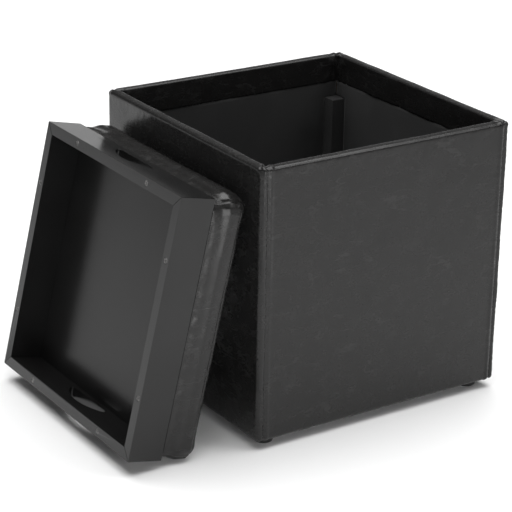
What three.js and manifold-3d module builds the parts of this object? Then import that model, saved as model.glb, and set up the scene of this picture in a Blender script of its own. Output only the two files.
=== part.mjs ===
// Storage cube ottoman covered in faux leather. Its loose lid is a cushion on one side and a shallow
// tray on the other, and stands outside the open cube with its tray side out, leaning on the left wall.
// Millimetres, +Z up, +X right, +Y to the back. The origin is on the floor, in the middle of the space
// that cube and leaning lid take up together.
import * as THREE from "three";
import { mergeVertices } from "three/addons/utils/BufferGeometryUtils.js";
import Module from "manifold-3d";

// The cube.
const cubeWidth = 400; // outside, left to right
const cubeDepth = 400; // outside, front to back
const bodyHeight = 380; // without the feet
const cornerRadius = 10; // upright outer corners
const edgeRadius = 5; // rim and bottom edges, outside
const rimCornerRadius = 3; // upright corners of the mouth
const leather = 1.2;
const padding = 2;
const panel = 9; // fibreboard walls and base
const liningSheet = 0.8;
const baseSheet = 1;
const facingDrop = 40; // how far the leather turns down inside the mouth
const hemWidth = 45; // how far the leather turns in under the base
const postSide = 22;
const ledgeDepth = 63; // from the rim down to the tops of the posts that carry the lid
const dustSheet = 0.6;
const dustInset = 50; // from the outside of the cube to the edge of the dust cover

// The feet and their screws.
const footHeight = 13;
const footRadius = 13;
const footInset = 28; // from each outside face to a foot's centre
const footFlare = 0.8; // how much wider a foot is at its top
const footEdge = 2; // height and width of a foot's rounded lower edge
const footRecess = 5; // for the screw's head
const footRecessPlay = 1;
const footScrewLength = 15;

// The lid.
const lidPlay = 4.2; // between the cushion and the mouth, on each side
const cushionOverhang = 4.5; // of the cushion beyond the tray frame, on each side
const cushionHeight = 57;
const cushionCorner = 26; // upright corners
const cushionRound = 24; // upper edge
const cushionSeamDrop = 14; // from the cushion's crown to the seam round its top panel
const lidHemWidth = 42;
const lidBoard = 9;
const railDepth = 50;
const railThickness = 15;
const trayFloor = 3;
const slotLength = 90;
const slotHeight = 23;
const slotFromCushion = 11; // from the rail's back edge to the slot's straight side
const slotEndRadius = 4;
const leanAngle = THREE.MathUtils.degToRad(12.8); // from upright
const wallContact = 2; // left between the leaning cushion and the wall
const floorContact = 0.3;

// The tray screws, two to a rail, driven through the rail into the lid board.
const screwSpacing = 184;
const screwHeadRadius = 3.8;
const screwHeadHeight = 2.4;
const screwShankRadius = 1.9;
const screwRimHeight = 0.4; // straight edge of the head
const screwTipLength = 3;
const screwTipRadius = 0.3;
const screwSetBack = 0.2; // head below the rail's face
const screwStop = 1; // left between a tray screw's tip and the far side of the lid board
const recessLength = 4.4;
const recessWidth = 0.9;
const recessDepth = 1.3;

// Gaps.
const gap = 0.3; // between touching pieces
const sheetMargin = 2; // from the ends of the padding to the rounded edges of the cube
const leastCorner = 2; // radius left on an upright corner inside a rounded edge
const holeClearance = 0.35; // round a screw
const arcSegments = 5;
const turnedSegments = 20;

// Worked out from the values above.
const halfWidth = cubeWidth / 2;
const halfDepth = cubeDepth / 2;
const bodyBottom = footHeight;
const rimHeight = bodyBottom + bodyHeight;
const panelOffset = leather + gap + padding + gap; // from the outside to a wall panel's face
const innerOffset = panelOffset + panel + gap; // to the facing, the posts and the lining
const mouthOffset = innerOffset + leather;
const panelBottom = bodyBottom + leather + gap;
const panelTop = rimHeight - leather - gap;
const baseTop = panelBottom + panel;
const ledgeHeight = rimHeight - ledgeDepth;
const cushionHalfX = halfWidth - mouthOffset - lidPlay;
const cushionHalfY = halfDepth - mouthOffset - lidPlay;
const frameHalfX = cushionHalfX - cushionOverhang;
const frameHalfY = cushionHalfY - cushionOverhang;
const cushionBase = railDepth + gap; // heights in the lid are measured from the tray's open side
const cushionTop = cushionBase + cushionHeight;
const lidBoardBase = cushionBase + leather + gap;
const foamBase = lidBoardBase + lidBoard + gap;
const screwEnd = lidBoardBase + lidBoard - screwStop;
const cornerRound = Math.min(cushionRound, cushionCorner - leastCorner); // upper edge at the corners

const materials = {
  leather: material(0x3c3a3b, 0.5),
  painted: material(0x3f3e3f, 0.45),
  board: material(0x9a7b55, 0.85),
  padding: material(0xd9d5c8, 0.95),
  foam: material(0xd8cf9c, 0.95),
  lining: material(0x1c1c1e, 0.95),
  plastic: material(0x141414, 0.5),
  steel: material(0x8c8c8e, 0.35, 0.9),
};

function material(color, roughness, metalness = 0) {
  return new THREE.MeshStandardMaterial({ color, roughness, metalness });
}

// Solids, joined and cut.
const wasm = await Module();
wasm.setup();

function solidOf(geometry) {
  const bare = geometry.clone();
  bare.deleteAttribute("normal");
  bare.deleteAttribute("uv");
  const merged = mergeVertices(bare, 1e-4);
  const mesh = new wasm.Mesh({
    numProp: 3,
    vertProperties: merged.attributes.position.array,
    triVerts: new Uint32Array(merged.index.array),
  });
  return new wasm.Manifold(mesh);
}

function geometryOf(solid) {
  const mesh = solid.getMesh();
  const geometry = new THREE.BufferGeometry();
  geometry.setAttribute("position", new THREE.BufferAttribute(mesh.vertProperties, 3));
  geometry.setIndex(new THREE.BufferAttribute(mesh.triVerts, 1));
  geometry.computeVertexNormals();
  return geometry;
}

function cutAll(solid, cutters) {
  return cutters.reduce((left, cutter) => left.subtract(cutter), solid);
}

// A block given by its lower and upper corners.
function block(low, high) {
  const size = high.map((value, axis) => value - low[axis]);
  const middle = high.map((value, axis) => (value + low[axis]) / 2);
  return solidOf(new THREE.BoxGeometry(...size).translate(...middle));
}

function roundedRectangle(halfX, halfY, radius) {
  const x = halfX - radius;
  const y = halfY - radius;
  const quarter = Math.PI / 2;
  const shape = new THREE.Shape();
  shape.absarc(x, y, radius, 0, quarter);
  shape.absarc(-x, y, radius, quarter, 2 * quarter);
  shape.absarc(-x, -y, radius, 2 * quarter, 3 * quarter);
  shape.absarc(x, -y, radius, 3 * quarter, 4 * quarter);
  return shape;
}

function prism(shape, low, high, steps = arcSegments) {
  const settings = { depth: high - low, bevelEnabled: false, curveSegments: steps };
  return solidOf(new THREE.ExtrudeGeometry(shape, settings).translate(0, 0, low));
}

// A rounded rectangle between two heights, with its lower and upper edges rounded too.
function softBlock(halfX, halfY, corner, low, high, round) {
  const settings = {
    depth: high - low - 2 * round,
    curveSegments: arcSegments,
    bevelSize: round,
    bevelThickness: round,
    bevelOffset: -round,
    bevelSegments: arcSegments,
  };
  const shape = roundedRectangle(halfX, halfY, corner);
  return solidOf(new THREE.ExtrudeGeometry(shape, settings).translate(0, 0, low + round));
}

function cylinder(radius, low, high, x, y) {
  const geometry = new THREE.CylinderGeometry(radius, radius, high - low, turnedSegments);
  geometry.rotateX(Math.PI / 2).translate(x, y, (low + high) / 2);
  return solidOf(geometry);
}

// A turned piece: the profile is a list of [radius, height] that starts and ends on the axis.
function turned(profile, x, y, segments = turnedSegments) {
  const points = profile.map(([radius, height]) => new THREE.Vector2(radius, height));
  const geometry = new THREE.LatheGeometry(points, segments);
  return solidOf(geometry.rotateX(Math.PI / 2).translate(x, y, 0));
}

function add(group, name, solid, look) {
  const mesh = new THREE.Mesh(geometryOf(solid), look);
  mesh.name = name;
  group.add(mesh);
}

// The four sides, each with the half-sizes along it and towards it, and its turn about Z from the front.
const sides = [
  { name: "front", along: halfWidth, out: halfDepth, turn: 0 },
  { name: "right", along: halfDepth, out: halfWidth, turn: 90 },
  { name: "back", along: halfWidth, out: halfDepth, turn: 180 },
  { name: "left", along: halfDepth, out: halfWidth, turn: 270 },
];

const cornerSigns = [
  ["front_left", -1, -1],
  ["front_right", 1, -1],
  ["back_right", 1, 1],
  ["back_left", -1, 1],
];

// Everything between two 45 degree planes through the ends of one side, so that four pieces meet in mitres.
function mitreWedge(along, out, reach, low, high) {
  const x = along - gap;
  const shape = new THREE.Shape();
  shape.moveTo(-x - 1, -out - 1);
  shape.lineTo(x + 1, -out - 1);
  shape.lineTo(x - reach, -out + reach);
  shape.lineTo(-x + reach, -out + reach);
  return prism(shape, low, high);
}

function footPlaces() {
  return cornerSigns.map(([name, sx, sy]) => ({
    name,
    x: sx * (halfWidth - footInset),
    y: sy * (halfDepth - footInset),
  }));
}

function footScrewHoles() {
  const radius = screwShankRadius + holeClearance;
  const top = baseTop + 1;
  return footPlaces().map(({ x, y }) => cylinder(radius, 0, top, x, y));
}

// Four wall panels: front and back run the full width, left and right fit between them.
function wallPanels(group) {
  const outX = halfWidth - panelOffset;
  const outY = halfDepth - panelOffset;
  const inX = outX - panel;
  const inY = outY - panel;
  const end = inY - gap;
  const shell = prism(roundedRectangle(outX, outY, cornerRadius - panelOffset), panelBottom, panelTop);
  const regions = [
    { name: "front", low: [-outX, -outY], high: [outX, -inY] },
    { name: "right", low: [inX, -end], high: [outX, end] },
    { name: "back", low: [-outX, inY], high: [outX, outY] },
    { name: "left", low: [-outX, -end], high: [-inX, end] },
  ];
  for (const { name, low, high } of regions) {
    const region = block([...low, panelBottom - 1], [...high, panelTop + 1]);
    add(group, `${name}_panel`, shell.intersect(region), materials.board);
  }
}

// The padding of each wall, under the flat part of its leather.
function wallPadding(group) {
  const low = bodyBottom + edgeRadius + sheetMargin;
  const high = rimHeight - edgeRadius - sheetMargin;
  for (const { name, along, out, turn } of sides) {
    const x = along - cornerRadius - sheetMargin;
    const y = -out + leather + gap;
    const sheet = block([-x, y, low], [x, y + padding, high]);
    add(group, `${name}_padding`, sheet.rotate([0, 0, turn]), materials.padding);
  }
}

// The lining of each wall: between the posts, and above them as far as its neighbours.
function wallLinings(group) {
  const low = baseTop + gap;
  const high = rimHeight - facingDrop - gap;
  for (const { name, along, out, turn } of sides) {
    const narrow = along - innerOffset - postSide - gap;
    const wide = along - innerOffset - liningSheet - gap;
    const y = -out + innerOffset;
    const between = block([-narrow, y, low], [narrow, y + liningSheet, high]);
    const above = block([-wide, y, ledgeHeight + gap], [wide, y + liningSheet, high]);
    add(group, `${name}_lining`, between.add(above).rotate([0, 0, turn]), materials.lining);
  }
}

// The leather of each wall: outside face, over the rim and down inside, and a hem under the base.
function leatherCovers(group) {
  const skin = softBlock(halfWidth, halfDepth, cornerRadius, bodyBottom, rimHeight, edgeRadius);
  const core = softBlock(
    halfWidth - leather,
    halfDepth - leather,
    cornerRadius - leather,
    bodyBottom + leather,
    rimHeight - leather,
    edgeRadius - leather,
  );
  const facingBottom = rimHeight - facingDrop;
  const mouthX = halfWidth - mouthOffset;
  const mouthY = halfDepth - mouthOffset;
  const facingShape = roundedRectangle(mouthX + leather, mouthY + leather, rimCornerRadius + leather);
  const facing = prism(facingShape, facingBottom, rimHeight - leather / 2);
  const mouth = prism(roundedRectangle(mouthX, mouthY, rimCornerRadius), facingBottom - 1, rimHeight + 1);
  const hemX = halfWidth - hemWidth;
  const hemY = halfDepth - hemWidth;
  const underside = block([-hemX, -hemY, 0], [hemX, hemY, bodyBottom + 2 * leather]);
  const whole = cutAll(skin.subtract(core).add(facing), [mouth, underside, ...footScrewHoles()]);
  for (const { name, along, out, turn } of sides) {
    const wedge = mitreWedge(along, out, hemWidth + 2, bodyBottom - 1, rimHeight + 1);
    add(group, `${name}_cover`, whole.intersect(wedge.rotate([0, 0, turn])), materials.leather);
  }
}

// Corner posts stiffen the walls, and the lid's corners rest on their tops.
function postBlocks(grow) {
  const x = halfWidth - innerOffset;
  const y = halfDepth - innerOffset;
  return cornerSigns.map(([name, sx, sy]) => {
    const insideX = sx * (x - postSide - grow);
    const insideY = sy * (y - postSide - grow);
    const low = [Math.min(insideX, sx * x), Math.min(insideY, sy * y), baseTop + gap - grow];
    const high = [Math.max(insideX, sx * x), Math.max(insideY, sy * y), ledgeHeight];
    return { name, solid: block(low, high) };
  });
}

function base(group) {
  const x = halfWidth - innerOffset;
  const y = halfDepth - innerOffset;
  const board = block([-x, -y, panelBottom], [x, y, baseTop]);
  add(group, "base_board", cutAll(board, footScrewHoles()), materials.board);

  const inset = liningSheet + gap;
  const sheetLow = baseTop + gap;
  const sheet = block([inset - x, inset - y, sheetLow], [x - inset, y - inset, sheetLow + baseSheet]);
  const posts = postBlocks(gap).map(({ solid }) => solid);
  add(group, "base_liner", cutAll(sheet, posts), materials.lining);

  const dustX = halfWidth - dustInset;
  const dustY = halfDepth - dustInset;
  const dustTop = bodyBottom - gap;
  const dust = block([-dustX, -dustY, dustTop - dustSheet], [dustX, dustY, dustTop]);
  add(group, "dust_cover", dust, materials.lining);
}

// A screw with a countersunk, cross-recessed head at the low end, pointing up.
function screwProfile(low, high, grow) {
  const head = screwHeadRadius + grow;
  const shank = screwShankRadius + grow;
  return [
    [0, low - grow],
    [head, low - grow],
    [head, low + screwRimHeight],
    [shank, low + screwHeadHeight],
    [shank, high - screwTipLength],
    [screwTipRadius + grow, high + grow],
    [0, high + grow],
  ];
}

function screw(low, high, x, y) {
  const body = turned(screwProfile(low, high, 0), x, y);
  const long = recessLength / 2;
  const short = recessWidth / 2;
  const one = block([x - long, y - short, low - 1], [x + long, y + short, low + recessDepth]);
  const other = block([x - short, y - long, low - 1], [x + short, y + long, low + recessDepth]);
  return cutAll(body, [one, other]);
}

// Round glides with a recess below for the screw that holds them to the base.
function feet(group) {
  const top = footHeight - gap;
  const screwLow = footRecess + screwSetBack;
  const bevel = 0.3 * footEdge;
  const profile = [
    [0, 0],
    [footRadius - footEdge, 0],
    [footRadius - bevel, bevel],
    [footRadius, footEdge],
    [footRadius + footFlare, top],
    [0, top],
  ];
  for (const { name, x, y } of footPlaces()) {
    const well = cylinder(screwHeadRadius + footRecessPlay, -1, footRecess, x, y);
    const hole = turned(screwProfile(screwLow, screwLow + footScrewLength, holeClearance), x, y);
    add(group, `foot_${name}`, cutAll(turned(profile, x, y), [well, hole]), materials.plastic);
    add(group, `foot_screw_${name}`, screw(screwLow, screwLow + footScrewLength, x, y), materials.steel);
  }
}

function cube() {
  const group = new THREE.Group();
  wallPanels(group);
  wallPadding(group);
  leatherCovers(group);
  wallLinings(group);
  for (const { name, solid } of postBlocks(0)) {
    add(group, `corner_post_${name}`, solid, materials.board);
  }
  base(group);
  feet(group);
  return group;
}

// Where the tray screws stand, in the lid: two on each rail, along its middle.
function trayScrewPlaces() {
  const railX = frameHalfX - railThickness / 2;
  const railY = frameHalfY - railThickness / 2;
  const places = [];
  for (const end of [-1, 1]) {
    const along = (end * screwSpacing) / 2;
    const suffix = end < 0 ? "a" : "b";
    places.push({ name: `front_${suffix}`, x: along, y: -railY });
    places.push({ name: `right_${suffix}`, x: railX, y: along });
    places.push({ name: `back_${suffix}`, x: -along, y: railY });
    places.push({ name: `left_${suffix}`, x: -railX, y: -along });
  }
  return places;
}

function trayScrewHoles() {
  const profile = screwProfile(screwSetBack, screwEnd, holeClearance);
  const segments = 12;
  return trayScrewPlaces().map(({ x, y }) => turned(profile, x, y, segments));
}

// A half-moon finger hole: straight towards the cushion, bowed towards the tray's open side.
function slotShape() {
  const straight = railDepth - slotFromCushion;
  const endY = slotLength / 2 - slotEndRadius;
  const bow = (endY ** 2 / (slotHeight - 2 * slotEndRadius) + slotHeight) / 2;
  const centre = straight - slotHeight + bow;
  const endHeight = straight - slotEndRadius;
  const tilt = Math.atan2(centre - endHeight, endY);
  const shape = new THREE.Shape();
  shape.absarc(endY, endHeight, slotEndRadius, Math.PI / 2, -tilt, true);
  shape.absarc(0, centre, bow, -tilt, tilt - Math.PI, true);
  shape.absarc(-endY, endHeight, slotEndRadius, tilt - Math.PI, -1.5 * Math.PI, true);
  return shape;
}

// The slot right through a rail, drawn in Y and Z and running along X.
function slotCutter(x) {
  const reach = railThickness;
  const settings = { depth: 2 * reach, bevelEnabled: false, curveSegments: 12 };
  const geometry = new THREE.ExtrudeGeometry(slotShape(), settings).translate(0, 0, -reach);
  const toYZ = new THREE.Matrix4().set(0, 0, 1, x, 1, 0, 0, 0, 0, 1, 0, 0, 0, 0, 0, 1);
  return solidOf(geometry.applyMatrix4(toYZ));
}

function trayRails(group) {
  const insideX = frameHalfX - railThickness;
  const insideY = frameHalfY - railThickness;
  const ring = block([-frameHalfX, -frameHalfY, 0], [frameHalfX, frameHalfY, railDepth]);
  const hollow = block([-insideX, -insideY, -1], [insideX, insideY, railDepth + 1]);
  const slots = [slotCutter(-frameHalfX), slotCutter(frameHalfX)];
  const frame = cutAll(ring, [hollow, ...slots, ...trayScrewHoles()]);
  for (const { name, turn } of sides) {
    const acrossFront = name === "front" || name === "back";
    const along = acrossFront ? frameHalfX : frameHalfY;
    const out = acrossFront ? frameHalfY : frameHalfX;
    const wedge = mitreWedge(along, out, railThickness + 1, -1, railDepth + 1);
    add(group, `tray_rail_${name}`, frame.intersect(wedge.rotate([0, 0, turn])), materials.painted);
  }
}

// The outside of the cushion, shrunk by a distance: close to the tray frame below, well rounded above.
// A bar along Y whose two upper edges are rounded, turned by an angle about Z.
function roundedBar(half, low, high, round, angle) {
  const quarter = Math.PI / 2;
  const length = 2 * (cubeWidth + cubeDepth);
  const shape = new THREE.Shape();
  shape.moveTo(-half, low);
  shape.lineTo(half, low);
  shape.absarc(half - round, high - round, round, 0, quarter);
  shape.absarc(round - half, high - round, round, quarter, 2 * quarter);
  return prism(shape, -length / 2, length / 2).rotate([90, 0, angle]);
}

function cushionBody(shrink) {
  const x = cushionHalfX - shrink;
  const y = cushionHalfY - shrink;
  const corner = cushionCorner - shrink;
  const round = cushionRound - shrink;
  const turn = cornerRound - shrink;
  const low = cushionBase + shrink;
  const high = cushionTop - shrink;
  const upper = softBlock(x, y, corner, low - 2 * turn, high, turn);
  const lower = softBlock(x, y, corner, low, high + cushionHeight, cushionOverhang);
  const body = upper.intersect(lower);
  if (cornerRound === cushionRound) {
    return body;
  }
  const bars = [roundedBar(x, low, high, round, 0), roundedBar(y, low, high, round, 90)];
  return bars.reduce((rest, bar) => rest.intersect(bar), body);
}

function cushion(group) {
  const hemX = frameHalfX - lidHemWidth;
  const hemY = frameHalfY - lidHemWidth;
  const window = block([-hemX, -hemY, cushionBase - 1], [hemX, hemY, cushionBase + 2 * leather]);
  const skin = cutAll(cushionBody(0), [cushionBody(leather), window, ...trayScrewHoles()]);
  const seam = cushionTop - cushionSeamDrop;
  const far = cubeWidth + cubeDepth;
  const above = block([-far, -far, seam + gap / 2], [far, far, cushionTop + 1]);
  const below = block([-far, -far, cushionBase - 1], [far, far, seam - gap / 2]);
  add(group, "cushion_top_panel", skin.intersect(above), materials.leather);
  add(group, "cushion_band", skin.intersect(below), materials.leather);

  const foamSpace = block([-far, -far, foamBase], [far, far, cushionTop]);
  add(group, "cushion_foam", cushionBody(leather + gap).intersect(foamSpace), materials.foam);
}

function lid() {
  const group = new THREE.Group();
  trayRails(group);
  const floorX = frameHalfX - railThickness - gap;
  const floorY = frameHalfY - railThickness - gap;
  const floor = block([-floorX, -floorY, railDepth - trayFloor], [floorX, floorY, railDepth]);
  add(group, "tray_floor", floor, materials.painted);

  const boardX = frameHalfX - leather - 2 * gap;
  const boardY = frameHalfY - leather - 2 * gap;
  const corner = cushionCorner - cushionOverhang;
  const boardShape = roundedRectangle(boardX, boardY, corner);
  const board = prism(boardShape, lidBoardBase, lidBoardBase + lidBoard);
  add(group, "lid_board", cutAll(board, trayScrewHoles()), materials.board);

  cushion(group);
  for (const { name, x, y } of trayScrewPlaces()) {
    add(group, `tray_screw_${name}`, screw(screwSetBack, screwEnd, x, y), materials.steel);
  }
  return group;
}

// The lid leans with its tray side out: the cushion's rounded lower edge is on the floor and its
// upper edge is against the left wall.
function leaningPlace() {
  const reach = cushionTop - cushionRound;
  const rise = cushionHalfX - cushionRound;
  const sine = Math.sin(leanAngle);
  const cosine = Math.cos(leanAngle);
  return {
    x: -halfWidth - wallContact - cushionRound - reach * cosine - rise * sine,
    z: floorContact + cushionRound + rise * cosine + reach * sine,
  };
}

const ottoman = new THREE.Group();
const leaning = leaningPlace();
const leaningLid = lid();
leaningLid.rotation.y = Math.PI / 2 + leanAngle;
leaningLid.position.set(leaning.x, 0, leaning.z);
ottoman.add(cube(), leaningLid);

// The lid's lowest tray corner reaches farthest left, and the cube's right face farthest right.
const leftEnd = leaning.x - frameHalfX * Math.sin(leanAngle);
const centred = new THREE.Group();
ottoman.position.x = -(leftEnd + halfWidth) / 2;
centred.add(ottoman);

export default centred;
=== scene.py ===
import math

import bpy
import numpy as np
from mathutils import Matrix, Vector


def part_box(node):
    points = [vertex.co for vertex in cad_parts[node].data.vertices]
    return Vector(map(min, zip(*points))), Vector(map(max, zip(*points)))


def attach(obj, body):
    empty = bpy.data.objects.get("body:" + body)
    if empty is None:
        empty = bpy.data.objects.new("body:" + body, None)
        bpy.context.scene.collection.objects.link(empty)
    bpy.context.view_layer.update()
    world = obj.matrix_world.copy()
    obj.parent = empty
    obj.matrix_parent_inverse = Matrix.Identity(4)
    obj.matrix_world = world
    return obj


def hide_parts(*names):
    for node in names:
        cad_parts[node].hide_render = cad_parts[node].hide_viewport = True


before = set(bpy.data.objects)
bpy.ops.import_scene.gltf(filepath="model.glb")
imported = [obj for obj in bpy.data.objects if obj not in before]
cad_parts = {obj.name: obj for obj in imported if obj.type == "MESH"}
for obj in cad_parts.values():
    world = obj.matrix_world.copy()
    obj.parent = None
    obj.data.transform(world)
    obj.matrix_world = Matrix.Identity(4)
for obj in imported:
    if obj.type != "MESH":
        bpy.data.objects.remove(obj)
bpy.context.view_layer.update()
scene = bpy.context.scene
print("frame loaded:", len(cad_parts), "nodes")


# Lowest and highest corner round several nodes, as arrays.
def around(*names):
    boxes = [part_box(name) for name in names]
    low = np.min([list(box[0]) for box in boxes], axis=0)
    high = np.max([list(box[1]) for box in boxes], axis=0)
    return low, high


# The middle of a node's box.
def middleOf(name):
    low, high = around(name)
    return (low + high) / 2


tiny = 1e-9  # keeps divisions and comparisons safe
sideNames = ["front", "right", "back", "left"]
coverLow, coverHigh = around(*[name + "_cover" for name in sideNames])
cubeMiddle = (coverLow + coverHigh) / 2
cubeHalf = (coverHigh[0] - coverLow[0]) / 2
bottomHeight = coverLow[2]
rimHeight = coverHigh[2]

# The lid's own axes: down the tray, to the back, and from the tray's open side to the cushion.
lidAcross = middleOf("tray_rail_right") - middleOf("tray_rail_left")
lidAcross /= np.linalg.norm(lidAcross)
lidBack = np.array([0.0, 1.0, 0.0])
lidOut = np.cross(lidAcross, lidBack)
lidAxes = np.stack([lidAcross, lidBack, lidOut])
railDepth = 0.050
trayFloorThickness = 0.003
lidOrigin = middleOf("tray_floor") - lidOut * (railDepth - trayFloorThickness / 2)


# From the lid's own coordinates to the row frame, and back.
def fromLid(points):
    return points @ lidAxes + lidOrigin


def toLid(points):
    return (points - lidOrigin) @ lidAxes.T


# From a side's coordinates (along it, outwards from the cube's middle, up) to the row frame.
# The front side is turned about the cube's middle by a quarter for each side further on.
def fromSide(side, along, out, up):
    turn = math.radians(90 * sideNames.index(side))
    x = along * math.cos(turn) + out * math.sin(turn) + cubeMiddle[0]
    y = along * math.sin(turn) - out * math.cos(turn) + cubeMiddle[1]
    return np.stack([x, y, up + 0 * x], axis=-1)


# The sum of many sine waves with random directions and phases, about -2 to 2.
# length is the wavelength, one number or one for each axis.
def waves(points, length, seed, count=28):
    random = np.random.default_rng(seed)
    directions = random.normal(size=(count, 3))
    directions /= np.linalg.norm(directions, axis=1)[:, None]
    stretch = 0.75 + 0.6 * random.random(count)[:, None]
    steps = directions * stretch * 2 * np.pi / np.array(length)
    phases = random.random(count) * 2 * np.pi
    flat = np.reshape(points, (-1, 3))
    total = np.zeros(len(flat))
    for step, phase in zip(steps, phases):
        total += np.sin(flat @ step + phase)
    return (total / math.sqrt(count / 2)).reshape(np.shape(points)[:-1])


# 0 below low, 1 above high, and an S curve between.
def ramp(value, low, high):
    t = np.clip((value - low) / (high - low), 0, 1)
    return t * t * (3 - 2 * t)


# A bell of height 1 round the middle.
def bell(value, middle, width):
    return np.exp(-(((value - middle) / width) ** 2))


# Waves of the leather or cloth, from their (depth, wavelength, seed).
def wavy(points, setting):
    depth, length, seed = setting
    return depth * waves(points, length, seed)


# A line in relief, from its (height, distance of its middle, width).
def raised(distance, setting):
    height, middle, width = setting
    return height * bell(distance, middle, width)


# Stops from 0 to length, fine within the end zones and coarse between them.
def stations(length, fine, coarse, zone):
    ends = np.arange(0, zone, fine)
    between = np.linspace(zone, length - zone, int(math.ceil((length - 2 * zone) / coarse)) + 1)
    return np.concatenate([ends, between, length - ends[::-1]])


# Corner numbers of the four-sided faces of a grid of rows by columns, its columns closed if asked.
def gridFaces(rows, columns, closed=False):
    numbers = np.arange(rows * columns).reshape(rows, columns)
    right = np.roll(numbers, -1, axis=1) if closed else numbers[:, 1:]
    here = numbers if closed else numbers[:, :-1]
    return np.stack([here[:-1], right[:-1], right[1:], here[1:]], axis=-1).reshape(-1, 4)


# A mesh object from points and four-cornered faces.
def makePiece(name, points, faces):
    mesh = bpy.data.meshes.new(name)
    points = np.reshape(points, (-1, 3))
    mesh.vertices.add(len(points))
    mesh.vertices.foreach_set("co", points.astype(np.float32).ravel())
    mesh.loops.add(faces.size)
    mesh.loops.foreach_set("vertex_index", faces.astype(np.int32).ravel())
    mesh.polygons.add(len(faces))
    mesh.polygons.foreach_set("loop_start", np.arange(0, faces.size, 4, dtype=np.int32))
    mesh.polygons.foreach_set("use_smooth", np.ones(len(faces), bool))
    mesh.update(calc_edges=True)
    mesh.validate()
    piece = bpy.data.objects.new(name, mesh)
    scene.collection.objects.link(piece)
    return piece


# The directions square to an object's own mesh at its points.
def normalsOf(piece):
    normals = np.zeros(len(piece.data.vertices) * 3, np.float32)
    piece.data.vertex_normals.foreach_get("vector", normals)
    return normals.reshape(-1, 3).astype(float)


def setPoints(piece, points):
    piece.data.vertices.foreach_set("co", points.astype(np.float32).ravel())
    piece.data.update()


# Gives a surface a thickness on its inner side.
def thicken(piece, thickness):
    solid = piece.modifiers.new("thickness", "SOLIDIFY")
    solid.thickness = thickness
    solid.offset = -1
    solid.use_rim = True


# Rides on a body, takes a material, and stands for CAD nodes.
def finishPiece(piece, body, look, nodes=()):
    piece.data.materials.clear()
    piece.data.materials.append(look)
    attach(piece, body)
    if nodes:
        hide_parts(*nodes)


# A socket that adds its Math node when it is used in an expression.
class Wire:
    def __init__(self, look, socket):
        self.look = look
        self.socket = socket

    def maths(self, operation, first, second=None):
        return self.look.node("ShaderNodeMath", {"operation": operation}, {0: first, 1: second})

    def __add__(self, other):
        return self.maths("ADD", self, other)

    def __radd__(self, other):
        return self.maths("ADD", other, self)

    def __sub__(self, other):
        return self.maths("SUBTRACT", self, other)

    def __rsub__(self, other):
        return self.maths("SUBTRACT", other, self)

    def __mul__(self, other):
        return self.maths("MULTIPLY", self, other)

    def __rmul__(self, other):
        return self.maths("MULTIPLY", other, self)

    def size(self):
        return self.maths("ABSOLUTE", self)


# A material made of nodes: node() adds any of them, and the rest are the few that every finish uses.
class Look:
    def __init__(self, name, constants):
        self.material = bpy.data.materials.new(name)
        self.material.use_nodes = True
        self.tree = self.material.node_tree
        self.tree.nodes.clear()
        self.shader = self.tree.nodes.new("ShaderNodeBsdfPrincipled")
        output = self.tree.nodes.new("ShaderNodeOutputMaterial")
        self.tree.links.new(self.shader.outputs[0], output.inputs[0])
        for socket, value in constants.items():
            self.shader.inputs[socket].default_value = value
        self.place = self.node("ShaderNodeTexCoord", out="Object")

    def node(self, kind, settings=None, sockets=None, out=0):
        made = self.tree.nodes.new(kind)
        for key, value in (settings or {}).items():
            setattr(made, key, value)
        for key, value in (sockets or {}).items():
            if isinstance(value, Wire):
                self.tree.links.new(value.socket, made.inputs[key])
            elif value is not None:
                made.inputs[key].default_value = value
        return Wire(self, made.outputs[out])

    # The object's coordinates, stretched by three numbers.
    def stretched(self, x, y, z):
        return self.node("ShaderNodeMapping", None, {"Vector": self.place, "Scale": (x, y, z)})

    def noise(self, scale, detail=3.0, roughness=0.55, place=None):
        sockets = {"Vector": place or self.place, "Scale": scale, "Detail": detail, "Roughness": roughness}
        return self.node("ShaderNodeTexNoise", None, sockets)

    # The distance to the middle of the nearest of many scattered cells.
    def cells(self, scale):
        return self.node("ShaderNodeTexVoronoi", {"feature": "F1"}, {"Vector": self.place, "Scale": scale})

    # From 0 to 1 as value goes from low to high.
    def step(self, value, low, high):
        settings = {"interpolation_type": "SMOOTHSTEP", "clamp": True}
        return self.node("ShaderNodeMapRange", settings, {0: value, 1: low, 2: high, 3: 0.0, 4: 1.0})

    def mix(self, factor, first, second):
        settings = {"data_type": "RGBA", "clamp_factor": True}
        return self.node("ShaderNodeMix", settings, {0: factor, 6: first, 7: second}, out=2)

    def bump(self, height, distance, strength=1.0, below=None):
        sockets = {"Height": height, "Distance": distance, "Strength": strength, "Normal": below}
        return self.node("ShaderNodeBump", None, sockets)

    def connect(self, **links):
        names = {"color": "Base Color", "roughness": "Roughness", "normal": "Normal"}
        for key, wire in links.items():
            self.tree.links.new(wire.socket, self.shader.inputs[names[key]])
        return self.material


def grey(value, warmth=0.0):
    return (value * (1 + warmth), value, value * (1 - 0.6 * warmth), 1.0)


# Charcoal faux leather: a tight pebbled grain, and thin broken creases painted lighter, a painted highlight
# along them.
leather = {
    "dark": grey(0.0062, 0.05),
    "light": grey(0.0078, 0.04),
    # the lighter colour painted along the creases: a painted highlight
    "creaseHighlight": grey(0.030, 0.02),
    "roughness": 0.27,
    "grainScale": 620.0,
    "grainDepth": 0.00010,
    "creaseDepth": 0.00009,
    # scale of the lines, their width, how much they are broken up, and their strength
    "creases": ((13.0, 0.015, 24.0, 0.9), (31.0, 0.026, 40.0, 0.6), (66.0, 0.040, 75.0, 0.35)),
}


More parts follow.
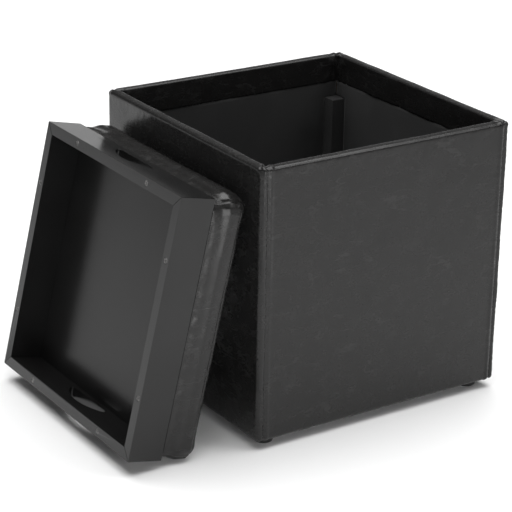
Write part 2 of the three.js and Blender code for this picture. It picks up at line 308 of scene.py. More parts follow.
def leatherLook(name, values):
    look = Look(name, {"Specular IOR Level": 0.34, "Sheen Weight": 0.02, "Sheen Roughness": 0.5})
    creases = None
    for scale, width, breaks, strength in values["creases"]:
        field = look.noise(scale, 4.0, 0.6, look.stretched(0.55, 0.55, 1.5))
        line = 1 - look.step((field - 0.5).size(), 0.0, width)
        broken = look.step(look.noise(breaks, 1.0, 0.5), 0.50, 0.68)
        part = line * broken * strength
        creases = part if creases is None else creases + part
    grain = look.cells(values["grainScale"])
    mottle = look.noise(48.0, 5.0, 0.6)
    plain = look.mix(look.step(mottle, 0.35, 0.7), values["dark"], values["light"])
    # the creases are mixed towards a lighter colour, a painted highlight along them
    colour = look.mix(creases * 0.42, plain, values["creaseHighlight"])
    roughness = values["roughness"] + (mottle - 0.5) * 0.04 + creases * 0.05
    soft = look.bump(look.noise(60.0, 2.0), 0.0004, 0.05)
    pebbled = look.bump(grain, values["grainDepth"], 0.5, soft)
    creased = look.bump(1 - creases, values["creaseDepth"], 0.5, pebbled)
    return look.connect(color=colour, roughness=roughness, normal=creased)


# Satin black paint on wood: a faint grain along the piece, brushed unevenness and specks of dust.
paint = {"dark": grey(0.0070, 0.02), "light": grey(0.0100, 0.0), "roughness": 0.20, "shine": 0.36}
floorPaint = {**paint, "roughness": 0.24, "shine": 0.22}


def paintLook(name, values, along):
    look = Look(name, {"Specular IOR Level": values["shine"]})
    long = look.stretched(*along)
    fibres = look.noise(140.0, 4.0, 0.6, long)
    cloud = look.noise(18.0, 3.0)
    specks = 1 - look.step(look.cells(520.0), 0.05, 0.12)
    rare = look.step(look.noise(90.0, 1.0), 0.60, 0.66)
    colour = look.mix(look.step(cloud, 0.3, 0.7) * 0.7 + fibres * 0.3, values["dark"], values["light"])
    dusted = look.mix(specks * rare * 0.5, colour, grey(0.09))
    roughness = values["roughness"] + (fibres - 0.5) * 0.05 + (cloud - 0.5) * 0.05
    orange = look.bump(look.noise(200.0, 2.0), 0.0002, 0.12)
    brushed = look.bump(fibres, 0.0002, 0.10, orange)
    return look.connect(color=dusted, roughness=roughness, normal=brushed)


# Pressed fibreboard: fine pale and dark fibres on tan.
def boardLook(name, base, dark):
    look = Look(name, {"Specular IOR Level": 0.3})
    fibres = look.noise(900.0, 5.0, 0.7, look.stretched(1.0, 0.35, 1.0))
    flecks = look.step(look.cells(700.0), 0.10, 0.35)
    cloud = look.noise(25.0, 3.0)
    colour = look.mix(look.step(fibres, 0.35, 0.65), dark, base)
    flecked = look.mix((1 - flecks) * 0.35, colour, dark)
    shaded = look.mix(cloud * 0.3, flecked, dark)
    normal = look.bump(fibres, 0.0004, 0.5)
    return look.connect(color=shaded, roughness=0.75 + fibres * 0.15, normal=normal)


# Black lining cloth: a plain weave of fine threads, with a little slub and lint.
def clothLook(name, dark, light, thread=0.0007):
    look = Look(name, {"Specular IOR Level": 0.2, "Sheen Weight": 0.15, "Sheen Roughness": 0.6})
    parts = look.node("ShaderNodeSeparateXYZ", None, {0: look.place})
    x, y, z = [Wire(look, output) for output in parts.socket.node.outputs]
    count = 2 * math.pi / thread
    across = look.node("ShaderNodeMath", {"operation": "SINE"}, {0: (x + y) * count})
    upwards = look.node("ShaderNodeMath", {"operation": "SINE"}, {0: (z + (x - y) * 0.5) * count})
    weave = across * upwards * 0.5 + 0.5
    slub = look.noise(240.0, 3.0, 0.6, look.stretched(1.0, 1.0, 0.15))
    lint = 1 - look.step(look.cells(300.0), 0.04, 0.10)
    colour = look.mix(weave * 0.5 + slub * 0.5, dark, light)
    linted = look.mix(lint * 0.25, colour, grey(0.08))
    height = look.bump(weave * 0.6 + slub * 0.4, 0.0003, 0.6)
    return look.connect(color=linted, roughness=0.85 + slub * 0.1, normal=height)


# Open foam and batting: small pits, painted darker as painted shade in them, and soft clouds of colour.
def foamLook(name, base, dark, scale):
    look = Look(name, {"Specular IOR Level": 0.15})
    pits = look.cells(scale)
    cloud = look.noise(40.0, 4.0)
    # the pits, which the bump sinks, are painted darker: painted shade in them
    colour = look.mix(look.step(pits, 0.1, 0.6), dark, base)
    shaded = look.mix(cloud * 0.25, colour, dark)
    normal = look.bump(pits, 0.0006, 0.7)
    return look.connect(color=shaded, roughness=0.9 + cloud * 0.08, normal=normal)


# Moulded black plastic with a fine spark-eroded texture.
def plasticLook(name):
    look = Look(name, {"Specular IOR Level": 0.5})
    texture = look.noise(1400.0, 3.0, 0.6)
    scuffs = look.step(look.noise(120.0, 5.0, 0.7), 0.58, 0.75)
    colour = look.mix(scuffs * 0.4, grey(0.012), grey(0.05))
    normal = look.bump(texture, 0.0002, 0.5)
    return look.connect(color=colour, roughness=0.42 + scuffs * 0.2, normal=normal)


# Zinc-plated steel: bright, cloudy and faintly turned.
def steelLook(name):
    look = Look(name, {"Metallic": 1.0})
    cloud = look.noise(700.0, 3.0)
    turned = look.noise(900.0, 4.0, 0.7, look.stretched(0.2, 1.0, 1.0))
    colour = look.mix(look.step(cloud, 0.40, 0.62), grey(0.025, 0.03), grey(0.30, 0.02))
    normal = look.bump(turned, 0.0001, 0.4)
    return look.connect(color=colour, roughness=0.34 + cloud * 0.20, normal=normal)


finishes = {
    "leather": leatherLook("charcoal faux leather", leather),
    "railAcross": paintLook("satin black paint, grain to the back", paint, (1.0, 0.08, 1.0)),
    "trayFloor": paintLook("satin black paint, tray floor", floorPaint, (1.0, 0.08, 1.0)),
    "railUp": paintLook("satin black paint, grain upwards", paint, (1.0, 1.0, 0.08)),
    "board": boardLook("fibreboard", (0.36, 0.23, 0.12, 1.0), (0.20, 0.12, 0.06, 1.0)),
    "darkBoard": clothLook("lining on the posts", grey(0.006), grey(0.016), 0.0009),
    "lining": clothLook("black lining", grey(0.006), grey(0.018)),
    "foam": foamLook("cushion foam", (0.72, 0.66, 0.42, 1.0), (0.50, 0.43, 0.24, 1.0), 900.0),
    "batting": foamLook("batting", (0.74, 0.73, 0.70, 1.0), (0.55, 0.54, 0.51, 1.0), 420.0),
    "plastic": plasticLook("moulded plastic"),
    "steel": steelLook("plated steel"),
}
print("materials made:", len(finishes))


cover = {
    "thickness": 0.0012,
    "mouthInset": 0.0143,
    "cornerRadius": 0.010,
    "mouthRadius": 0.003,
    "leastRadius": 0.0006,
    "bottomRound": 0.005,
    "rimOuterRound": 0.0048,
    "rimInnerRound": 0.0022,
    "facing": 0.040,
    "hem": 0.045,
    "allowance": 0.0013,
    "fine": 0.0013,
    "coarse": 0.0027,
    "endZone": 0.018,
    "rowStep": 0.0026,
    "roundSteps": 7,
    "hemSteps": 12,
    "rimSteps": 4,
    "facingSteps": 20,
    "longArcSteps": 16,
    "shortArcSteps": 6,
    "seamShift": 0.0074,
    "shiftInsets": (0.0005, 0.0080),
    "insideInset": 0.010,
    "insideDepths": (0.001, 0.008),
    "outsideInsets": (0.004, 0.010),
    "faceDepths": (0.0035, 0.0075),
    "pullDistances": (0.0006, 0.0035),
    "pullReach": 0.011,
    "gatherReach": 0.010,
    "topCornerReach": 0.014,
    "mouthCornerReach": 0.028,
    "mouthCornerSquash": 0.6,
    "deepest": 0.00135,
    # height, distance from the seam, width
    "ridge": (0.0009, 0.0052, 0.0026),
    "groove": (0.0017, 0.0, 0.0016),
    # depth, wavelength, seed
    "roll": (0.00016, 0.12, 1),
    "ripple": (0.00008, 0.045, 2),
    "ridgeWaves": (0.25, 0.05, 3),
    "pull": (0.00020, (0.030, 0.030, 0.0085), 4),
    "gather": (0.00022, (0.0085, 0.0085, 0.016), 5),
    "topCornerFolds": (0.00045, 0.0095, 6),
    "mouthCornerFolds": (0.0011, (0.015, 0.015, 0.022), 7),
    "slackInside": (0.00022, 0.050, 8),
    # what the rounded edges take off the flat length, and the flat area as a share of its rectangle
    "lengthInRounds": 0.006,
    "flatShare": 0.955,
    "crumple": {"front_left": 0.6, "front_right": 0.5, "back_right": 1.2, "back_left": 0.6},
}


# The cover's section: distance in from the outside face, and height, from the hem under the base,
# round the bottom edge, up the face, over the rim and down inside the mouth.
def coverSection(values):
    quarter = np.linspace(0, np.pi / 2, values["roundSteps"])
    low, high, mouth = values["bottomRound"], values["rimOuterRound"], values["mouthInset"]
    inner = values["rimInnerRound"]
    hemSteps, rimSteps, facingSteps = values["hemSteps"], values["rimSteps"], values["facingSteps"]
    faceSteps = int((rimHeight - bottomHeight) / values["rowStep"])
    parts = []
    parts.append((np.linspace(values["hem"], low, hemSteps), np.full(hemSteps, bottomHeight)))
    parts.append((low - low * np.sin(quarter), bottomHeight + low - low * np.cos(quarter)))
    parts.append((np.zeros(faceSteps), np.linspace(bottomHeight + low, rimHeight - high, faceSteps)))
    parts.append((high - high * np.cos(quarter), rimHeight - high + high * np.sin(quarter)))
    parts.append((np.linspace(high, mouth - inner, rimSteps), np.full(rimSteps, rimHeight)))
    parts.append((mouth - inner + inner * np.sin(quarter), rimHeight - inner + inner * np.cos(quarter)))
    facingHeights = np.linspace(rimHeight - inner, rimHeight - values["facing"], facingSteps)
    parts.append((np.full(facingSteps, mouth), facingHeights))
    inset = np.concatenate([parts[0][0]] + [part[0][1:] for part in parts[1:]])
    height = np.concatenate([parts[0][1]] + [part[1][1:] for part in parts[1:]])
    return inset, height


# One cover: its section carried along its side and round into each corner as far as the seam, then
# moved along its normals by seams, gathers, folds and a slight unevenness. On the upright faces the
# seams stand a little to the front and back of the corners, so the left and right covers turn them.
def leatherCover(side, values):
    inset, height = coverSection(values)
    insetSteps, heightSteps = np.gradient(inset), np.gradient(height)
    stepLength = np.hypot(insetSteps, heightSteps)
    facingOut, facingUp = (heightSteps / stepLength)[:, None], (insetSteps / stepLength)[:, None]
    inset, height = inset[:, None], height[:, None]
    slope = (values["cornerRadius"] - values["mouthRadius"]) / values["mouthInset"]
    radius = np.maximum(values["cornerRadius"] - slope * inset, values["leastRadius"])
    turns = 1 if side in ("left", "right") else -1
    shift = turns * values["seamShift"] * (1 - ramp(inset, *values["shiftInsets"]))
    cornerEnd = np.pi / 4 + shift / radius
    arcSteps = values["longArcSteps"] if turns > 0 else values["shortArcSteps"]
    arc = np.linspace(1, 0, arcSteps)[None, :-1] * cornerEnd
    straightLength = 2 * (cubeHalf - values["cornerRadius"])
    stops = stations(straightLength, values["fine"], values["coarse"], values["endZone"])
    run = stops[None, :] / straightLength
    straight = cubeHalf - inset - radius
    turned = np.hstack([-arc, 0 * run + 0 * radius, arc[:, ::-1]])
    along = np.hstack([-straight + 0 * arc, straight * (2 * run - 1), straight + 0 * arc])
    along = along + radius * np.sin(turned)
    out = straight + radius * np.cos(turned)
    edgeRun = cornerEnd * radius + np.minimum(run, 1 - run) * 2 * straight
    arcRun = radius * (cornerEnd - arc)
    fromSeam = np.hstack([arcRun, edgeRun, arcRun[:, ::-1]])
    points = fromSide(side, along, out, height)
    normals = fromSide(side, facingOut * np.sin(turned), facingOut * np.cos(turned), facingUp + 0 * turned)
    normals[..., :2] -= cubeMiddle[:2]

    depth = rimHeight - height + 0 * along
    isInside = ramp(inset + 0 * along, values["insideInset"], values["mouthInset"])
    isInside = isInside * ramp(depth, *values["insideDepths"])
    isOutside = 1 - ramp(inset + 0 * along, *values["outsideInsets"])
    offX = np.abs(points[..., 0] - cubeMiddle[0])
    offY = np.abs(points[..., 1] - cubeMiddle[1])
    toTopCorner = np.sqrt((offX - cubeHalf) ** 2 + (offY - cubeHalf) ** 2 + depth ** 2)
    mouthHalf = cubeHalf - values["mouthInset"]
    squashed = values["mouthCornerSquash"] * depth
    toMouthCorner = np.sqrt((offX - mouthHalf) ** 2 + (offY - mouthHalf) ** 2 + squashed ** 2)
    atBack = points[..., 1] > cubeMiddle[1]
    atRight = points[..., 0] > cubeMiddle[0]
    crumple = values["crumple"]
    crumpled = np.where(atBack, np.where(atRight, crumple["back_right"], crumple["back_left"]),
                        np.where(atRight, crumple["front_right"], crumple["front_left"]))

    moved = wavy(points, values["roll"]) + wavy(points, values["ripple"])
    moved += raised(fromSeam, values["ridge"]) * (0.8 + wavy(points, values["ridgeWaves"]))
    moved -= raised(fromSeam, values["groove"])
    pulled = np.exp(-fromSeam / values["pullReach"]) * ramp(fromSeam, *values["pullDistances"])
    moved += pulled * wavy(points, values["pull"])
    gathered = np.exp(-depth / values["gatherReach"]) * isOutside * ramp(depth, *values["faceDepths"])
    moved += gathered * wavy(points, values["gather"])
    atTopCorner = bell(toTopCorner, 0.0, values["topCornerReach"])
    moved += atTopCorner * wavy(points, values["topCornerFolds"])
    atMouthCorner = crumpled * isInside * bell(toMouthCorner, 0.0, values["mouthCornerReach"])
    moved += atMouthCorner * wavy(points, values["mouthCornerFolds"])
    moved += isInside * wavy(points, values["slackInside"])
    moved = np.where(moved < 0, -values["deepest"] * np.tanh(-moved / values["deepest"]), moved)
    points = points + normals * moved[..., None]

    # The edges turn in at the seams.
    inwards = -values["allowance"] * normals
    first = points[:, :1] + inwards[:, :1]
    last = points[:, -1:] + inwards[:, -1:]
    points = np.concatenate([first, points, last], axis=1)
    piece = makePiece(side + "_leather", points, gridFaces(*points.shape[:2]))
    thicken(piece, values["thickness"])
    finishPiece(piece, "cube", finishes["leather"], [side + "_cover"])
    flatLength = values["hem"] + (rimHeight - bottomHeight) + values["mouthInset"] + values["facing"]
    flat = (2 * cubeHalf + 2 * turns * values["seamShift"], flatLength - values["lengthInRounds"])
    values["flatShare"] * flat[0] * flat[1]


for sideName in sideNames:
    leatherCover(sideName, cover)
print("leather covers made")


sheets = {
    "paddingStep": 0.008,
    "paddingWave": 0.0001,
    "clothStep": 0.004,
    "clothWave": 0.0004,
    "dustCoverWave": 0.0006,
    "wavelength": 0.07,
    "edgeFade": 0.012,
    "postGap": 0.0003,
}


# A flat sheet in a node's box, facing the given way, which bellies out a little in soft waves.
# notch gives what is cut away: for each of its two directions, how far in from the ends, and whether
# only from the lower end. Returns the piece, its flat size and its flat area.
def sheetInBox(name, node, facing, step, wave, seed, notch=None):
    low, high = around(node)
    normal = np.array(facing, float)
    axis = int(np.argmax(np.abs(normal)))
    others = [other for other in range(3) if other != axis]
    if np.cross(np.eye(3)[others[0]], np.eye(3)[others[1]])[axis] * normal[axis] < 0:
        others.reverse()
    lines = [np.linspace(low[a], high[a], max(3, int((high[a] - low[a]) / step))) for a in others]
    if notch:
        lines = [np.unique(np.concatenate([line, low[a] + [notch[a]], high[a] - [notch[a]]]))
                 for a, line in zip(others, lines)]
    first, second = np.meshgrid(lines[0], lines[1])
    points = np.zeros(first.shape + (3,))
    points[..., others[0]] = first
    points[..., others[1]] = second
    points[..., axis] = (high if normal[axis] > 0 else low)[axis]
    toEnds = [first - lines[0][0], lines[0][-1] - first, second - lines[1][0], lines[1][-1] - second]
    edge = np.minimum.reduce(toEnds)
    height = waves(points, sheets["wavelength"], seed)
    belly = (height + np.sqrt(height ** 2 + 0.3)) / 2
    points += normal * (wave * ramp(edge, 0.0, sheets["edgeFade"]) * belly)[..., None]
    faces = gridFaces(*first.shape)
    cutArea = 0.0
    if notch:
        centres = points.reshape(-1, 3)[faces].mean(axis=1)
        nearLow = [centres[:, a] < low[a] + notch[a] for a in others]
        nearHigh = [centres[:, a] > high[a] - notch[a] for a in others]
        onlyLow = [axis != 2 and a == 2 for a in others]
        near = [below | (above & (not lower)) for below, above, lower in zip(nearLow, nearHigh, onlyLow)]
        faces = faces[~(near[0] & near[1])]
        used, faces = np.unique(faces, return_inverse=True)
        points, faces = points.reshape(-1, 3)[used], faces.reshape(-1, 4)
        cutArea = (2 if any(onlyLow) else 4) * notch[others[0]] * notch[others[1]]
    piece = makePiece(name, points, faces)
    thicken(piece, (high - low)[axis])
    flat = [(high - low)[a] for a in others]
    return piece, flat, flat[0] * flat[1] - cutArea


inwardFacing = {"front": (0, 1, 0), "right": (-1, 0, 0), "back": (0, -1, 0), "left": (1, 0, 0)}
postHigh = around("corner_post_front_left")[1]
for number, sideName in enumerate(sideNames):
    outward = [-value for value in inwardFacing[sideName]]
    batting, _, _ = sheetInBox(sideName + "_batting", sideName + "_padding", outward,
                               sheets["paddingStep"], sheets["paddingWave"], 20 + number)
    finishPiece(batting, "cube", finishes["batting"], [sideName + "_padding"])
    liningLow = around(sideName + "_lining")[0]
    sidewise = postHigh[1] - around("right_lining")[0][1] + sheets["postGap"]
    postNotch = {0: sidewise, 1: sidewise, 2: postHigh[2] + sheets["postGap"] - liningLow[2]}
    lining, flatSize, flatArea = sheetInBox(
        sideName + "_inner_lining", sideName + "_lining", inwardFacing[sideName],
        sheets["clothStep"], sheets["clothWave"], 30 + number, postNotch)
    finishPiece(lining, "cube", finishes["lining"], [sideName + "_lining"])

postReach = postHigh[0] - around("base_liner")[0][0] + sheets["postGap"]
liner, flatSize, flatArea = sheetInBox(
    "base_inner_liner", "base_liner", (0, 0, 1),
    sheets["clothStep"], sheets["clothWave"], 40, {0: postReach, 1: postReach})
finishPiece(liner, "cube", finishes["lining"], ["base_liner"])
dust, flatSize, flatArea = sheetInBox(
    "base_dust_cover", "dust_cover", (0, 0, -1), sheets["clothStep"], sheets["dustCoverWave"], 41)
finishPiece(dust, "cube", finishes["lining"], ["dust_cover"])
print("linings made")


cushion = {
    "half": 0.1815,
    "corner": 0.024,
    "leastCorner": 0.004,
    "base": 0.0504,
    "foamBase": 0.0612,
    "seamHeight": 0.0935,
    "topHeight": 0.1062,
    "dome": 0.0030,
    "fine": 0.0022,
    "coarse": 0.0056,
    "endZone": 0.018,
    "thickness": 0.0012,
    "foamInset": 0.0026,
    "cap": 0.002,
    "frames": 20,
    # the cloth is free above this height, and fully held from this distance below it
    "holdHeight": 0.0560,
    "holdFade": 0.004,
    "cloth": {
        "quality": 6,
        "mass": 0.4,
        "tension_stiffness": 25,
        "compression_stiffness": 25,
        "shear_stiffness": 12,
        "bending_stiffness": 1.2,
        "air_damping": 3,
        "use_pressure": True,
        "uniform_pressure_force": 1.6,
        "shrink_min": 0.0,
    },
    "bandInsets": (0.0100, 0.0070),
    "offBand": 0.02,  # added to the distance from the seam away from the band
    "cornerInsets": (0.040, 0.018),
    "frameFade": (0.0008, 0.004),
    "frameReach": 0.0080,
    "ringFoldPlace": (0.004, 0.006),
    "puckerStretch": (1, 1, 0.45),
    # height, distance from the seam, width
    "ringRidge": (0.0005, 0.0036, 0.0018),
    "ringGroove": (0.0011, 0.0, 0.0011),
    "cornerRidge": (0.0005, 0.0038, 0.0018),
    "cornerGroove": (0.0009, 0.0, 0.0011),
    # depth, wavelength, seed
    "roll": (0.00022, 0.090, 51),
    "ripple": (0.00010, 0.035, 52),
    "pucker": (0.00026, 0.0170, 53),
    "finePucker": (0.00014, 0.0085, 54),
    "cornerFolds": (0.00015, (0.0110, 0.0110, 0.018), 55),
    "ringFolds": (0.00007, 0.0120, 56),
}

# Inset from the cushion's widest line and height, from the hem's inner edge out to the tray frame, up
# the hollow beside the frame and over the ridge to the seam.
bandSection = np.array([
    (0.0460, 0.0504), (0.0380, 0.0504), (0.0300, 0.0504), (0.0220, 0.0504), (0.0150, 0.0504),
    (0.0105, 0.0504), (0.0078, 0.0504), (0.0060, 0.0505), (0.0051, 0.0509), (0.0046, 0.0518),
    (0.0044, 0.0534), (0.0043, 0.0556), (0.0042, 0.0582), (0.0041, 0.0608), (0.0038, 0.0632),
    (0.0033, 0.0655), (0.0027, 0.0676), (0.0020, 0.0695), (0.0013, 0.0712), (0.0007, 0.0729),
    (0.0003, 0.0747), (0.0001, 0.0770), (0.0000, 0.0800), (0.0000, 0.0830), (0.0002, 0.0858),
    (0.0005, 0.0882), (0.0010, 0.0902), (0.0018, 0.0918), (0.0026, 0.0929), (0.0032, 0.0935),
])
# From the seam over the edge of the top panel.
topSection = np.array([
    (0.0034, 0.0941), (0.0037, 0.0951), (0.0044, 0.0965), (0.0055, 0.0982), (0.0072, 0.1000),
    (0.0096, 0.1017), (0.0128, 0.1031), (0.0168, 0.1042),
])


# A point on a rounded square's outline: run goes from -1 to 1 along each quarter, from one diagonal
# to the next, as the cube's covers do.
def onOutline(quarter, run, half, corner):
    straight = half - corner
    length = run * (straight + corner * np.pi / 4)
    over = np.clip(np.abs(length) - straight, 0, None) / corner
    along = np.sign(length) * (np.minimum(np.abs(length), straight) + corner * np.sin(over))
    out = straight + corner * np.cos(over)
    cosine, sine = np.cos(quarter * np.pi / 2), np.sin(quarter * np.pi / 2)
    return np.stack([along * cosine + out * sine, along * sine - out * cosine], axis=-1)


# A square grid inside an outline: a point is the outline's point in the same direction, scaled by how
# far out it is in the grid. Returns plan positions, that distance, and the quarter and run.
def fillOutline(lines, half, corner):
    u, v = np.meshgrid(lines, lines)
    distance = np.maximum(np.abs(u), np.abs(v))
    safe = np.maximum(distance, tiny)
    onFront = (v <= -distance + tiny) & (u < distance - tiny)
    onRight = (u >= distance - tiny) & (v < distance - tiny)
    onBack = (v >= distance - tiny) & (u > -distance + tiny)
    quarter = np.select([onFront, onRight, onBack], [0, 1, 2], 3)
    run = np.select([onFront, onRight, onBack], [u / safe, v / safe, -u / safe], -v / safe)
    return onOutline(quarter, run, half, corner) * distance[..., None], distance, quarter, run


# A closed form in the lid's coordinates: rings along a section, a domed top and a flat window below.
# Faces are grouped as 0 up to the seam's row, 1 above it with the top, and 2 for the window.
def closedForm(values, section, seamRow):
    side = 2 * values["half"]
    lines = stations(side, values["fine"], values["coarse"], values["endZone"]) / side * 2 - 1
    columns = len(lines) - 1
    quarters = np.repeat(np.arange(4), columns)
    runs = np.tile(lines[:-1], 4)
    rings = []
    for inset, height in section:
        corner = max(values["corner"] - inset, values["leastCorner"])
        ring = onOutline(quarters, runs, values["half"] - inset, corner)
        rings.append(np.column_stack([ring, np.full(len(ring), height)]))
    rings = np.array(rings)
    count = rings.shape[1]
    faces = [gridFaces(len(rings), count, closed=True)]
    groups = [np.repeat((np.arange(len(rings) - 1) >= seamRow).astype(int), count)]
    points = [rings.reshape(-1, 3)]
    for row, rise, group in ((len(rings) - 1, 1, 1), (0, 0, 2)):
        inset, height = section[row]
        corner = max(values["corner"] - inset, values["leastCorner"])
        plan, distance, quarter, run = fillOutline(lines, values["half"] - inset, corner)
        lift = (values["topHeight"] - height) * (1 - distance ** 4)
        lift += values["dome"] * (1 - distance ** 2) ** 2
        grid = np.dstack([plan, height + rise * lift])
        numbers = np.arange(distance.size).reshape(distance.shape) + sum(len(p) for p in points)
        onEdge = distance > 1 - tiny
        stop = np.argmin(np.abs(lines[:, None] - run[onEdge][None, :]), axis=0)
        numbers[onEdge] = row * count + (quarter[onEdge] * columns + stop) % count
        corners = np.stack([numbers[:-1, :-1], numbers[:-1, 1:], numbers[1:, 1:], numbers[1:, :-1]], axis=-1)
        corners = corners.reshape(-1, 4)
        faces.append(corners if rise else corners[:, ::-1])
        groups.append(np.full(len(corners), group))
        points.append(grid.reshape(-1, 3))
    points, faces, groups = np.concatenate(points), np.concatenate(faces), np.concatenate(groups)
    used, renumbered = np.unique(faces, return_inverse=True)
    return points[used], renumbered.reshape(-1, 4), groups


# Swells the form with cloth under pressure, held at the hem, and returns its points in the lid's
# coordinates. A point moves by no more than the cap.
def swell(points, faces, values):
    body = makePiece("cushion_sim", fromLid(points), faces)
    held = body.vertex_groups.new(name="held")
    grip = np.clip((values["holdHeight"] - points[:, 2]) / values["holdFade"], 0, 1)
    halfStep = 0.125
    for level in (1.0, 0.75, 0.5, 0.25):
        chosen = np.nonzero((grip > level - halfStep) & (grip <= level + halfStep))[0]
        held.add(chosen.tolist(), level, "REPLACE")
    cloth = body.modifiers.new("cloth", "CLOTH")
    for key, value in values["cloth"].items():
        setattr(cloth.settings, key, value)
    cloth.settings.vertex_group_mass = "held"
    cloth.settings.effector_weights.gravity = 0
    cloth.point_cache.frame_start = 1
    cloth.point_cache.frame_end = values["frames"]
    for number in range(1, values["frames"] + 1):
        scene.frame_set(number)
    graph = bpy.context.evaluated_depsgraph_get()
    result = body.evaluated_get(graph).to_mesh()
    swollen = np.zeros(len(points) * 3, np.float32)
    result.vertices.foreach_get("co", swollen)
    scene.frame_set(1)
    bpy.data.objects.remove(body)
    moved = toLid(swollen.reshape(-1, 3).astype(float)) - points
    length = np.linalg.norm(moved, axis=1, keepdims=True)
    return points + moved * values["cap"] * np.tanh(length / values["cap"]) / np.maximum(length, tiny)


# Subdivides once and returns the finer points, faces and groups.
def refine(points, faces, groups):
    body = makePiece("cushion_fine", points, faces)
    for _ in range(3):
        body.data.materials.append(None)
    body.data.polygons.foreach_set("material_index", groups.astype(np.int32))
    finer = body.modifiers.new("finer", "SUBSURF")
    finer.levels = finer.render_levels = 1
    graph = bpy.context.evaluated_depsgraph_get()
    mesh = bpy.data.meshes.new_from_object(body.evaluated_get(graph))
    finePoints = np.zeros(len(mesh.vertices) * 3, np.float32)
    fineNormals = np.zeros(len(mesh.vertices) * 3, np.float32)
    fineFaces = np.zeros(len(mesh.loops), np.int32)
    fineGroups = np.zeros(len(mesh.polygons), np.int32)
    mesh.vertices.foreach_get("co", finePoints)
    mesh.vertex_normals.foreach_get("vector", fineNormals)
    mesh.loops.foreach_get("vertex_index", fineFaces)
    mesh.polygons.foreach_get("material_index", fineGroups)
    bpy.data.objects.remove(body)
    bpy.data.meshes.remove(mesh)
    shaped = (array.reshape(-1, 3).astype(float) for array in (finePoints, fineNormals))
    return (*shaped, fineFaces.reshape(-1, 4), fineGroups)


# Folds, seams and gathers of the cover, as a distance along the normals, in the lid's coordinates.
def coverFolds(points, values):
    offX, offY, height = np.abs(points[:, 0]), np.abs(points[:, 1]), points[:, 2]
    isBand = ramp(values["half"] - np.maximum(offX, offY), *values["bandInsets"])
    toRing = np.abs(height - values["seamHeight"]) + (1 - isBand) * values["offBand"]
    toCorner = np.abs(offX - offY) / math.sqrt(2)
    farIn, nearIn = values["cornerInsets"]
    cornerWeight = ramp(np.minimum(offX, offY), values["half"] - farIn, values["half"] - nearIn)
    aboveFrame = height - values["base"]
    moved = wavy(points, values["roll"]) + wavy(points, values["ripple"])
    moved += raised(toRing, values["ringRidge"]) - raised(toRing, values["ringGroove"])
    cornerSeam = raised(toCorner, values["cornerRidge"]) - raised(toCorner, values["cornerGroove"])
    moved += cornerSeam * cornerWeight * isBand
    nearFrame = np.exp(-np.clip(aboveFrame, 0, None) / values["frameReach"])
    nearFrame = nearFrame * ramp(aboveFrame, *values["frameFade"])
    moved += nearFrame * wavy(points * values["puckerStretch"], values["pucker"])
    moved += nearFrame * wavy(points, values["finePucker"])
    moved += cornerWeight * isBand * wavy(points, values["cornerFolds"])
    moved += bell(toRing, *values["ringFoldPlace"]) * wavy(points, values["ringFolds"])
    return moved


wholeSection = np.concatenate([bandSection, topSection])
resting, formFaces, formGroups = closedForm(cushion, wholeSection, len(bandSection) - 1)
form = swell(resting, formFaces, cushion)
print("cushion shaped:", len(form), "points", form.min(axis=0).round(4), form.max(axis=0).round(4))
finePoints, fineNormals, fineFaces, fineGroups = refine(form, formFaces, formGroups)
fineResting = refine(resting, formFaces, formGroups)[0]

foam = makePiece("cushion_foam_block", form, formFaces)
foamPoints = form - normalsOf(foam) * cushion["foamInset"]
foamPoints[:, 2] = np.maximum(foamPoints[:, 2], cushion["foamBase"])
setPoints(foam, fromLid(foamPoints))
finishPiece(foam, "lid", finishes["foam"], ["cushion_foam"])

# The board inside stops short of the hollow beside the frame.
insideBoard = {**cushion, "half": 0.1752, "corner": 0.018, "topHeight": 0.0606, "dome": 0.0}
boardSection = np.array([
    (0.0008, 0.0520), (0.0002, 0.0522), (0.0, 0.0528), (0.0, 0.0598), (0.0002, 0.0604), (0.0008, 0.0606),
])
boardPoints, boardFaces, _ = closedForm(insideBoard, boardSection, 0)
boardPiece = makePiece("cushion_board", fromLid(boardPoints), boardFaces)
finishPiece(boardPiece, "lid", finishes["board"], ["lid_board"])

folded = finePoints + fineNormals * coverFolds(fineResting, cushion)[:, None]
worldFolded = fromLid(folded)
restOnFloor, restSoftness, wallGap = 0.0002, 0.0003, 0.0012
overFloor = (worldFolded[:, 2] - restOnFloor) / restSoftness
worldFolded[:, 2] = restOnFloor + np.logaddexp(0, overFloor) * restSoftness
wallFace = cubeMiddle[0] - cubeHalf - wallGap
worldFolded[:, 0] = np.minimum(worldFolded[:, 0], wallFace)
skins = ((0, "cushion_band_leather", "cushion_band"), (1, "cushion_top_leather", "cushion_top_panel"))
for group, pieceName, node in skins:
    chosen = fineFaces[fineGroups == group]
    used, renumbered = np.unique(chosen, return_inverse=True)
    skin = makePiece(pieceName, worldFolded[used], renumbered.reshape(-1, 4))
    thicken(skin, cushion["thickness"])
    finishPiece(skin, "lid", finishes["leather"], [node])
print("cushion made")


railEdge = {"weld": 0.00002, "width": 0.00028, "segments": 2, "angle": 35}


# A bevelled copy of a node, its loose triangles joined first.
def softenedCopy(name, node, values):
    piece = bpy.data.objects.new(name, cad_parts[node].data.copy())
    scene.collection.objects.link(piece)
    weld = piece.modifiers.new("weld", "WELD")
    weld.merge_threshold = values["weld"]
    bevel = piece.modifiers.new("edges", "BEVEL")
    bevel.width = values["width"]
    bevel.segments = values["segments"]
    bevel.limit_method = "ANGLE"
    bevel.angle_limit = math.radians(values["angle"])
    return piece


for sideName in sideNames:
    rail = softenedCopy("painted_rail_" + sideName, "tray_rail_" + sideName, railEdge)
    grain = "railUp" if sideName in ("front", "back") else "railAcross"
    finishPiece(rail, "lid", finishes[grain], ["tray_rail_" + sideName])

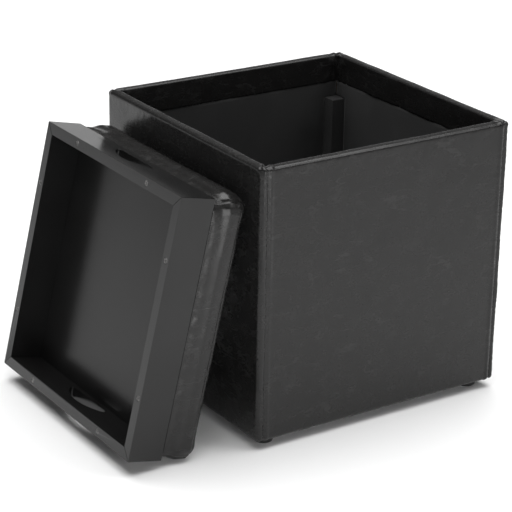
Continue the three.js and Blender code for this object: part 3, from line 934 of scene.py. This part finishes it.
# The finish of each node that is shown as it is.
for nodeName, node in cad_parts.items():
    if node.hide_render:
        continue
    look = "steel" if "screw" in nodeName else "board"
    if nodeName.startswith("foot_") and "screw" not in nodeName:
        look = "plastic"
    if nodeName.startswith("corner_post"):
        look = "darkBoard"
    if nodeName == "tray_floor":
        look = "trayFloor"
    node.data.materials.clear()
    node.data.materials.append(finishes[look])
print("rails and small parts finished")


studio = {
    "floorHalf": 14.0,
    "floorStops": 9,
    "floorShade": 0.90,
    "floorMottle": 0.99,
    "horizon": 1.05,
    "ceiling": 0.07,
    "horizonHeight": 0.03,
    "ceilingHeight": 0.27,
    "strength": 1.0,
}

# Each light's place, the point it faces, its size and its power.
lamps = {
    "overhead": ((0.5, 0.9, 5.5), (0.5, 0.9, 0), (7.0, 7.0), 620.0),
    "key": ((1.25, -1.35, 1.75), (0.1, 0, 0.25), (0.7, 0.7), 8.0),
    "front": ((-0.4, -1.7, 0.42), (-0.15, -0.1, 0.25), (0.9, 0.75), 10.0),
}


def areaLight(name, place, target, size, power):
    lamp = bpy.data.lights.new(name, "AREA")
    lamp.shape = "RECTANGLE"
    lamp.size, lamp.size_y = size
    lamp.energy = power
    holder = bpy.data.objects.new(name, lamp)
    scene.collection.objects.link(holder)
    holder.location = place
    holder.rotation_euler = (Vector(target) - Vector(place)).to_track_quat("-Z", "Y").to_euler()


floorLines = np.linspace(-studio["floorHalf"], studio["floorHalf"], studio["floorStops"])
floorX, floorY = np.meshgrid(floorLines, floorLines)
floor = makePiece("floor", np.dstack([floorX, floorY, 0 * floorX]), gridFaces(*floorX.shape))
floorLook = Look("pale floor", {"Roughness": 0.6, "Specular IOR Level": 0.2})
floorShade = studio["floorShade"]
floorTones = (grey(floorShade), grey(floorShade * studio["floorMottle"]))
floorTone = floorLook.mix(floorLook.noise(3.0, 2.0), *floorTones)
floor.data.materials.append(floorLook.connect(color=floorTone))

# The surroundings are white at the horizon and dark overhead.
world = bpy.data.worlds.new("studio")
scene.world = world
world.use_nodes = True
skyTree = world.node_tree
skyPlace = skyTree.nodes.new("ShaderNodeTexCoord")
skyParts = skyTree.nodes.new("ShaderNodeSeparateXYZ")
skyRamp = skyTree.nodes.new("ShaderNodeMapRange")
skyRamp.interpolation_type = "SMOOTHSTEP"
skyRamp.inputs["From Min"].default_value = studio["horizonHeight"]
skyRamp.inputs["From Max"].default_value = studio["ceilingHeight"]
skyRamp.inputs["To Min"].default_value = studio["horizon"]
skyRamp.inputs["To Max"].default_value = studio["ceiling"]
skyTree.links.new(skyPlace.outputs["Generated"], skyParts.inputs[0])
skyTree.links.new(skyParts.outputs["Z"], skyRamp.inputs["Value"])
skyTree.links.new(skyRamp.outputs["Result"], skyTree.nodes["Background"].inputs["Color"])
skyTree.nodes["Background"].inputs["Strength"].default_value = studio["strength"]

for lampName, lampValues in lamps.items():
    areaLight(lampName, *lampValues)

view = {
    "place": (-1.40699, -2.16086, 1.20688),
    "right": (0.83906, -0.54374, 0.01789),
    "down": (-0.18584, -0.31737, -0.92991),
    "forward": (0.51131, 0.77693, -0.36734),
    "focal": 1997.4,  # in widths of a 512th of the frame
    "frameParts": 512,
    "sensor": 36.0,
}
cameraData = bpy.data.cameras.new("camera")
cameraData.sensor_width = view["sensor"]
cameraData.lens = view["sensor"] * view["focal"] / view["frameParts"]
camera = bpy.data.objects.new("camera", cameraData)
scene.collection.objects.link(camera)
axes = Matrix((view["right"], [-v for v in view["down"]], [-v for v in view["forward"]])).transposed()
camera.matrix_world = Matrix.Translation(view["place"]) @ axes.to_4x4()
scene.camera = camera
scene.view_settings.view_transform = "Standard"
print("studio set")
